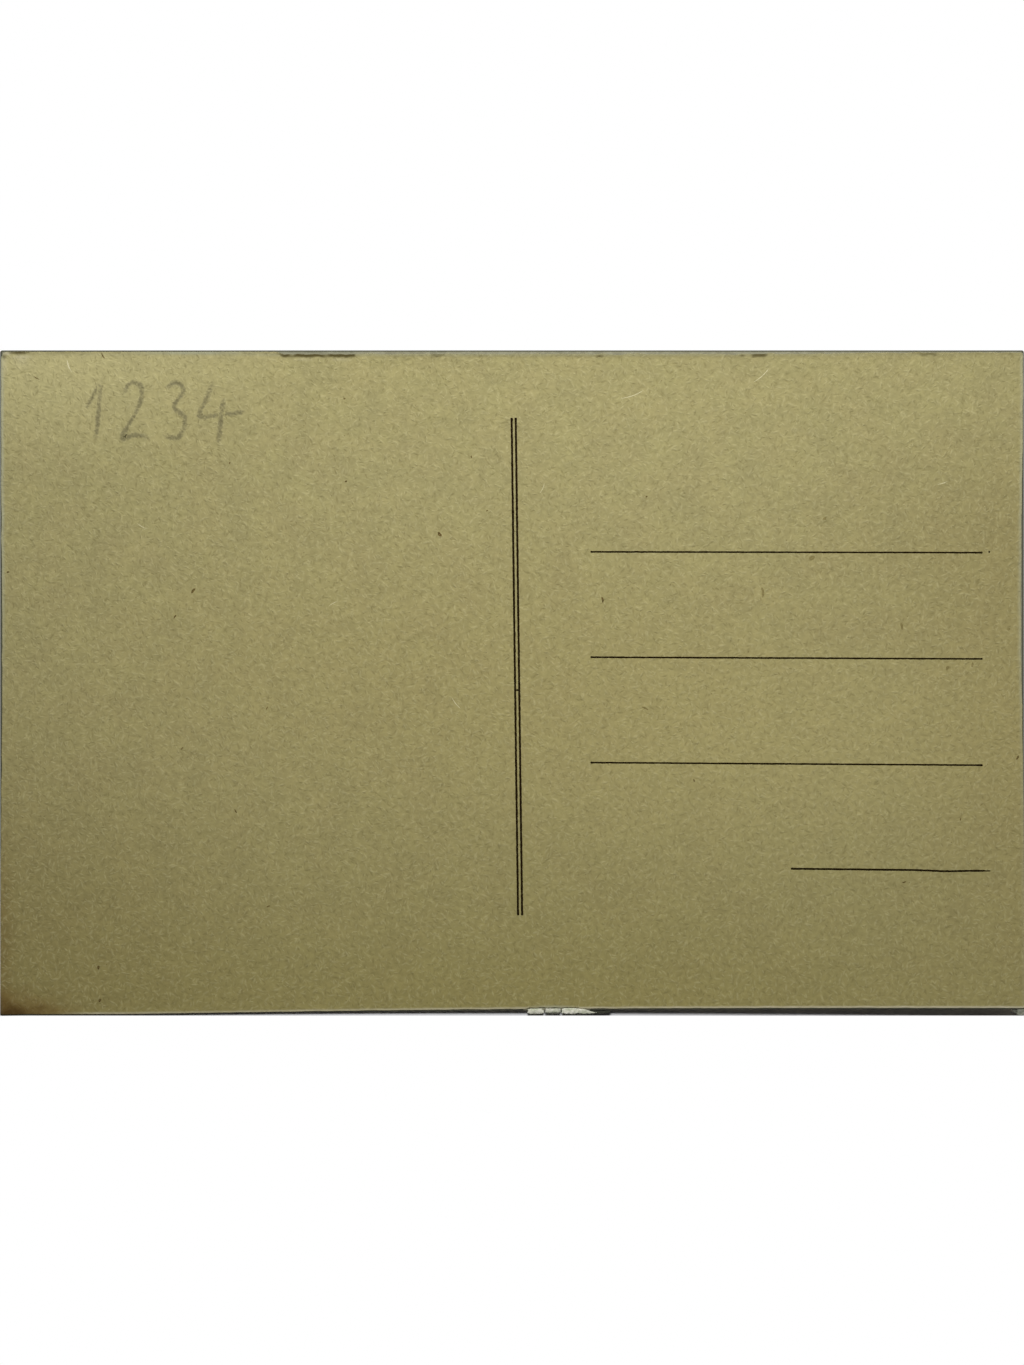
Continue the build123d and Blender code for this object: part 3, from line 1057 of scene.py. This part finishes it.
sunkSlivers = (
    (41.0, 17.1, 0.85, 0.55, 20), (34.3, 12.4, 1.40, 0.36, 95), (53.3, 7.8, 1.00, 0.34, 100),
    (59.55, 2.05, 0.65, 0.42, 60), (62.95, 2.5, 0.65, 0.30, 80), (67.9, 7.37, 0.45, 0.30, 0),
    (42.75, 22.5, 0.60, 0.36, 30), (18.2, -3.4, 1.00, 0.24, 155),
)
looseFibres = (
    (16.5, 39.3, 3.3, 0.10, 20), (34.2, 42.0, 2.9, 0.10, 42), (-60.6, 43.3, 1.9, 0.17, 112),
    (-7.7, -2.8, 1.9, 0.09, 128), (4.2, 26.6, 1.5, 0.08, 65), (-24.5, 10.9, 1.4, 0.08, 30),
    (-50.6, 21.4, 1.6, 0.08, 150), (58.8, 27.3, 1.5, 0.08, 15),
)
slivers = dict(columns=11, rows=3, sunk=0.003 * mm, film=0.012 * mm, smoothAngle=60)


# a sliver that tapers to both ends and bends a little
def sliver(x, y, length, width, turn):
    heading = Vector((math.cos(math.radians(turn)), math.sin(math.radians(turn))))
    sideways = Vector((-heading.y, heading.x))

    def place(column, row):
        along = column / (slivers["columns"] - 1) * 2 - 1
        side = row / (slivers["rows"] - 1) * 2 - 1
        taper = max(1 - along * along, 0.0) ** 0.6 * (1 + 0.3 * wander(along, side, 0.6, x / mm))
        bend = 0.06 * length * along * along * math.copysign(1, x)
        spot = Vector((x, y)) + heading * along * length / 2
        spot += sideways * (bend + side * width / 2 * max(taper, 0.15))
        return spot.x, spot.y, faceHeight(spot.x, spot.y) - slivers["sunk"]

    return growSheet("sliver", slivers["columns"], slivers["rows"], place, slivers["film"])


def buildSlivers(name, places, tones):
    made = [sliver(x * mm, y * mm, length * mm, width * mm, turn) for x, y, length, width, turn in places]
    piece = joinPieces(name, made)
    finishPiece(piece, slivers["smoothAngle"], makeGreyBoard(name, tones))
    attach(piece, "root")


buildSlivers("bark_slivers", barkSlivers, barkSliver)
buildSlivers("sunk_slivers", sunkSlivers, sunkSliver)
buildSlivers("loose_fibres", looseFibres, looseFibre)
print("slivers laid")

# the middle board, which shows where the address paper has worn back
middleBoard = dict(thickness=0.14 * mm, columnPitch=0.8 * mm, smoothAngle=40)


def coreTop(x, y):
    return coreFace + curlLift(x, y)


def buildMiddleBoard():
    columns = gridLines(card["left"], card["right"], middleBoard["columnPitch"])
    rows = gridLines(0.0, card["top"] - card["low"], addressPaper["rowPitch"])

    def place(column, row):
        x = columns[column]
        corner = endCuts(x, card["cornerRound"], card["cornerRound"])
        foot = trimLine(x) + corner
        y = foot + rows[row] / rows[-1] * (card["top"] - corner - foot)
        return x, y, coreTop(x, y) - middleBoard["thickness"]

    board = growSheet("middle_board", len(columns), len(rows), place, middleBoard["thickness"])
    finishPiece(board, middleBoard["smoothAngle"], makeGreyBoard("greyBoard", greyBoard))
    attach(board, "root")
    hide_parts("core_ply")


buildMiddleBoard()
print("middle board laid")

# the flake of that board, torn in lobes that hang past the lower edge: a lobe's ends at the edge and its fall
# below it in mm, the power of its outline, which is squarer the lower it is, how far its top slopes down to
# the right and its puff in mm, and its soil and painted shade above and below
flakeLobes = (
    dict(first=2.15, last=4.35, fall=0.50, square=0.12, slope=0.0, puff=0.09, soilAndShade=(0.04, 0.15)),
    dict(first=4.55, last=6.65, fall=0.51, square=0.12, slope=0.0, puff=0.08, soilAndShade=(0.12, 0.85)),
    dict(first=6.8, last=9.05, fall=0.52, square=0.15, slope=0.0, puff=0.12, soilAndShade=(0.0, 0.05)),
    dict(first=8.8, last=11.6, fall=0.50, square=0.2, slope=0.85, puff=0.09, soilAndShade=(0.0, 0.1)),
    # the last lobe is dark all over: a painted shadow beside the leaf-shaped lobe before it
    dict(first=10.2, last=13.5, fall=0.54, square=0.4, slope=0.0, puff=-0.12, soilAndShade=(1.0, 1.0)),
)
# the lower right corner, crushed: the board shows below the paper, soiled and darkened with painted shade
cornerLobes = (
    dict(first=68.3, last=69.4, fall=0.6, square=0.6, slope=0.0, puff=-0.08, soilAndShade=(0.9, 0.85)),
    dict(first=69.0, last=70.0, fall=0.82, square=0.1, slope=0.0, puff=0.02, soilAndShade=(0.7, 0.62)),
)
torn = dict(
    columns=26,
    rows=18,
    root=0.4 * mm,  # how far a lobe reaches back into the board
    depth=0.09 * mm,  # and how deep in it that root lies
    thickness=0.07 * mm,
    droop=0.05 * mm,
    crease=0.045 * mm,
    creaseSize=0.45 * mm,
    edgeSize=0.4 * mm,
    stray=0.05 * mm,
    straySize=0.3 * mm,
    soilAndShadeSize=0.45 * mm,
    smoothAngle=55,
    hairsPerLobe=6,
    hairSteps=8,
    hairLength=(0.2, 0.5),  # mm
    hairWidth=0.035 * mm,
    hairTurn=(200, 340),  # degrees
    hairLift=0.05,  # mm up or down
    hairCurve=0.4,
    hairSeed=17,
)


def tornLobe(number, lobe):
    first, last = lobe["first"] * mm, lobe["last"] * mm

    def place(column, row):
        across = column / (torn["columns"] - 1)
        down = row / (torn["rows"] - 1)
        x = first + across * (last - first)
        ragged = 1 + 0.16 * wander(x, 0, torn["edgeSize"], 61.0 + number)
        fall = lobe["fall"] * mm * math.sin(math.pi * (0.06 + 0.88 * across)) ** lobe["square"] * ragged
        start = torn["root"] - lobe["slope"] * mm * across
        y = trimLine(x) + start - down * (start + fall)
        x += torn["stray"] * wander(0, y, torn["straySize"], 67.0 + across)
        out = (trimLine(x) - y) / (lobe["fall"] * mm)
        bare = smoothStep(3 * out + 1.6)
        rise = lobe["puff"] * mm * bare * math.sqrt(math.sin(math.pi * (0.03 + 0.94 * across)))
        crease = torn["crease"] * wander(x, y, torn["creaseSize"], 71.0 + number) * bare
        droop = torn["droop"] * max(out, 0.0) ** 2
        return x, y, coreTop(x, y) - torn["depth"] + rise + crease - droop

    piece = growSheet("torn_lobe", torn["columns"], torn["rows"], place, torn["thickness"])
    soilAndShade = []
    for vertex in piece.data.vertices:
        x, y, z = vertex.co
        low = (trimLine(x) - y) / (lobe["fall"] * mm)
        low += 0.25 * wander(x, y, torn["soilAndShadeSize"], 79.0 + number)
        above, below = lobe["soilAndShade"]
        soilAndShade.append(above + (below - above) * smoothStep(2.5 * low - 0.9))
    setValues(piece, "soilAndShade", soilAndShade)
    return piece


# torn hairs along a lobe's lower edge
def tornHairs(lobes, draw):
    hairs = []
    for lobe in lobes:
        for hairNumber in range(torn["hairsPerLobe"]):
            x = draw.uniform(lobe["first"], lobe["last"]) * mm
            y = trimLine(x) - lobe["fall"] * mm * draw.uniform(0.3, 0.9)
            length = draw.uniform(*torn["hairLength"]) * mm
            turn = math.radians(draw.uniform(*torn["hairTurn"]))
            lift = draw.uniform(-torn["hairLift"], torn["hairLift"]) * mm - torn["depth"]
            curve = draw.uniform(-torn["hairCurve"], torn["hairCurve"])

            def place(column, row):
                along = column / torn["hairSteps"]
                angle = turn + curve * along
                side = (row - 0.5) * torn["hairWidth"] * (1.1 - 0.8 * along)
                hairX = x + length * along * math.cos(angle) - side * math.sin(angle)
                hairY = y + length * along * math.sin(angle) * 0.5 + side * math.cos(angle)
                return hairX, hairY, coreTop(hairX, hairY) + lift * (1 - 0.5 * along)

            hair = growSheet("torn_hair", torn["hairSteps"] + 1, 2, place, torn["hairWidth"] * 0.6)
            setValues(hair, "soilAndShade", [lobe["soilAndShade"][1]] * len(hair.data.vertices))
            hairs.append(hair)
    return hairs


def buildTorn(name, lobes, hairy):
    pieces = [tornLobe(number, lobe) for number, lobe in enumerate(lobes)]
    if hairy:
        pieces += tornHairs(lobes, random.Random(torn["hairSeed"]))
    piece = joinPieces(name, pieces)
    finishPiece(piece, torn["smoothAngle"], tornMaterial)
    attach(piece, "root")


buildTorn("torn_flake", flakeLobes, True)
buildTorn("crushed_corner", cornerLobes, False)
print("flake and corner torn")


# Stage, light and camera

studio = dict(
    floorSize=6.0,
    floorDrop=0.02 * mm,
    floorColour="#F1F1F3",
    floorRough=(0.75, 0.9),
    specklePerMm=0.6,
    shadeInset=0.06,  # mm inside the card's upper and lower edge where the shadow stops
    shadeReach=(0.0, 0.08),  # mm past that over which the floor turns to the white backdrop
    keyPlace=(0.014, 0.147, 0.2135),
    keySize=0.11,
    keyPower=0.785,
    underPlace=(0, 0, -0.35),  # lights the side that lies on the table
    underSize=0.5,
    underPower=1.8,
    underInset=(-0.6, -0.3),  # mm past the card's edge where the table stops letting that light through
    ambient=0.022,
    lens=150.0,
    viewWidth=140.0 * mm,
    viewCentre=0.09 * mm,  # above the middle of the card
    imageSize=(1024, 1365),
    sensor=36.0,
    clip=(0.01, 20.0),
)


# 1 for a ray that shows the eye something, straight or by way of metal or glass
def seenByEye(tree, path):
    seen = addNode(tree, "Math.MAXIMUM", {
        0: path.outputs["Is Camera Ray"], 1: path.outputs["Is Glossy Ray"]})
    return addNode(tree, "Math.MAXIMUM", [seen, path.outputs["Is Transmission Ray"]])


# a plain white table that keeps the card's shadow close by and runs out to the backdrop's white
def buildFloor():
    bpy.ops.object.select_all(action="DESELECT")
    bpy.ops.mesh.primitive_plane_add(size=studio["floorSize"], location=(0, 0, -studio["floorDrop"]))
    floor = bpy.context.object
    floor.name = "table"
    material, tree = newMaterial("whiteTable")
    place = placeInMm(tree)
    mirrored = addNode(tree, "VectorMath.ABSOLUTE", [place])
    cardCorner = (card["right"] / mm, card["top"] / mm - studio["shadeInset"], 0)
    past = addNode(tree, "VectorMath.SUBTRACT", [mirrored, cardCorner])
    outside = addNode(tree, "VectorMath.MAXIMUM", [past, (0, 0, 0)])
    reach = addNode(tree, "VectorMath.LENGTH", [outside])
    fade = addNode(tree, "MapRange", [
        reach.outputs["Value"], *studio["shadeReach"]], interpolation_type="SMOOTHSTEP")
    path = addNode(tree, "LightPath")
    share = addNode(tree, "Math.MULTIPLY", [fade, seenByEye(tree, path)])
    speckle = addNode(tree, "TexNoise", {"Vector": place, "Scale": studio["specklePerMm"], "Detail": 3.0})
    roughness = addNode(tree, "MapRange", [speckle, 0, 1, *studio["floorRough"]])
    surface = addNode(tree, "BsdfPrincipled", {
        "Base Color": studio["floorColour"], "Roughness": roughness, "Specular IOR Level": 0.1})
    backdrop = addNode(tree, "Emission", {"Color": "#FFFFFF", "Strength": 1.0})
    lit = addNode(tree, "MixShader", [share, surface, backdrop])

    # clear from below, and clear to the lower lamp where the card lies on it
    below = addNode(tree, "NewGeometry")
    sides = addNode(tree, "SeparateXYZ", [past])
    nearest = addNode(tree, "Math.MAXIMUM", [sides.outputs["X"], sides.outputs["Y"]])
    hidden = addNode(tree, "MapRange", [nearest, *studio["underInset"], 1, 0])
    passing = addNode(tree, "Math.MULTIPLY", [hidden, path.outputs["Is Shadow Ray"]])
    clearShare = addNode(tree, "Math.MAXIMUM", [passing, below.outputs["Backfacing"]])
    clear = addNode(tree, "BsdfTransparent")
    sided = addNode(tree, "MixShader", [clearShare, lit, clear])
    addNode(tree, "OutputMaterial", {"Surface": sided})
    dress(floor, material)


def buildWorld():
    world = bpy.data.worlds.new("studioWorld")
    bpy.context.scene.world = world
    world.use_nodes = True
    tree = world.node_tree
    tree.nodes.clear()
    path = addNode(tree, "LightPath")
    ambient = addNode(tree, "Background", {"Color": "#FFFFFF", "Strength": studio["ambient"]})
    white = addNode(tree, "Background", {"Color": "#FFFFFF", "Strength": 1.0})
    mixed = addNode(tree, "MixShader", [seenByEye(tree, path), ambient, white])
    addNode(tree, "OutputWorld", {"Surface": mixed})


def buildLamp(name, place, size, power):
    bpy.ops.object.light_add(type="AREA", location=place)
    lamp = bpy.context.object
    lamp.name = name
    lamp.data.shape = "DISK"
    lamp.data.size = size
    lamp.data.energy = power
    lamp.rotation_euler = (-Vector(place)).to_track_quat("-Z", "Y").to_euler()
    return lamp


def buildLights():
    buildLamp("key", studio["keyPlace"], studio["keySize"], studio["keyPower"])
    under = buildLamp("under", studio["underPlace"], studio["underSize"], studio["underPower"])
    under.visible_camera = False
    under.data.cycles.max_bounces = 0  # it reaches the picture side and nothing else
    under.data.cycles.use_multiple_importance_sampling = False


# looking straight down on the card, top edge up
def buildCamera():
    wide, high = studio["imageSize"]
    shownSensor = studio["sensor"] * wide / high  # the sensor's width is the picture's long side
    distance = studio["viewWidth"] * studio["lens"] / shownSensor
    bpy.ops.object.camera_add(location=(0, studio["viewCentre"], paperFace + distance), rotation=(0, 0, 0))
    camera = bpy.context.object
    camera.name = "camera"
    camera.data.sensor_width = studio["sensor"]
    camera.data.lens = studio["lens"]
    camera.data.clip_start, camera.data.clip_end = studio["clip"]
    bpy.context.scene.camera = camera


buildFloor()
buildWorld()
buildLights()
buildCamera()
bpy.context.scene.view_settings.view_transform = "Standard"
print("stage set")
